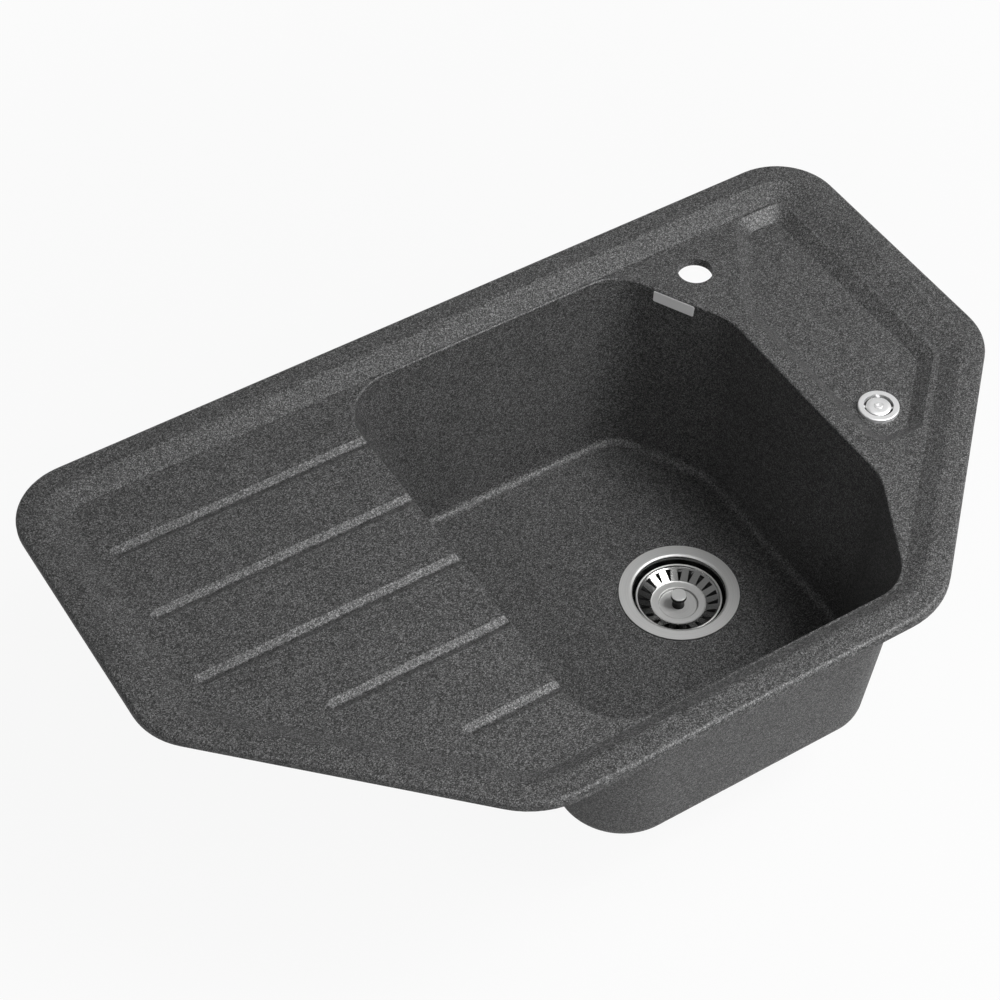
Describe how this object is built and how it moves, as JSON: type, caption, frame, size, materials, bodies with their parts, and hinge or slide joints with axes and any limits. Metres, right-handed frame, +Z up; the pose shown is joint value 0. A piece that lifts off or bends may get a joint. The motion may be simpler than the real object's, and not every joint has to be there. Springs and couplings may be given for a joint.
{
  "type": "corner kitchen sink",
  "caption": "Inset corner kitchen sink in dark granite composite, with a deep bowl, a grooved drainer, a soap tray, a tap hole, a lift-out basket strainer waste and an overflow.",
  "frame": {"origin": "on the underside of the rim, in the middle of the strip that rests on the worktop along the long back edge", "axes": "+X from the drainer to the bowl along the back edge, +Y towards the back edge, +Z up out of the worktop"},
  "size_m": [0.9, 0.56, 0.3154],
  "materials": {
    "composite": "matt moulded quartz composite with a fine light speckle",
    "steel": "polished stainless steel with fine turning marks",
    "chrome": "bright chrome plate",
    "rubber": "matt black rubber",
    "black_plastic": "moulded black polypropylene",
    "hose_plastic": "grey corrugated hose",
    "brass": "plain brass"
  },
  "bodies": {
    "sink": {"sink_body": "composite", "drain_flange": "steel", "flange_seal": "rubber", "floor_seal": "rubber", "drain_body": "black_plastic", "drain_screw": "steel", "drain_nut": "brass", "overflow_plate": "chrome", "overflow_screw": "chrome", "overflow_gasket": "rubber", "overflow_body": "black_plastic", "overflow_nut": "brass", "overflow_hose": "hose_plastic", "hose_nut_top": "black_plastic", "hose_nut_bottom": "black_plastic", "hose_seal_top": "rubber", "hose_seal_bottom": "rubber"},
    "stopper": {"stopper_seal": "rubber", "stopper_catch": "black_plastic"},
    "basket": {"basket_cup": "steel", "basket_post": "steel", "basket_knob": "steel"}
  },
  "joints": [
    {"name": "basket_lift", "type": "slide", "parent": "sink", "child": "stopper", "axis": [0, 0, 1], "range_m": [0, 0.08]},
    {"name": "basket_turn", "type": "hinge", "parent": "stopper", "child": "basket", "pos_m": [0.125, -0.272, -0.2294], "axis": [0, 0, 1], "continuous": true}
  ]
}
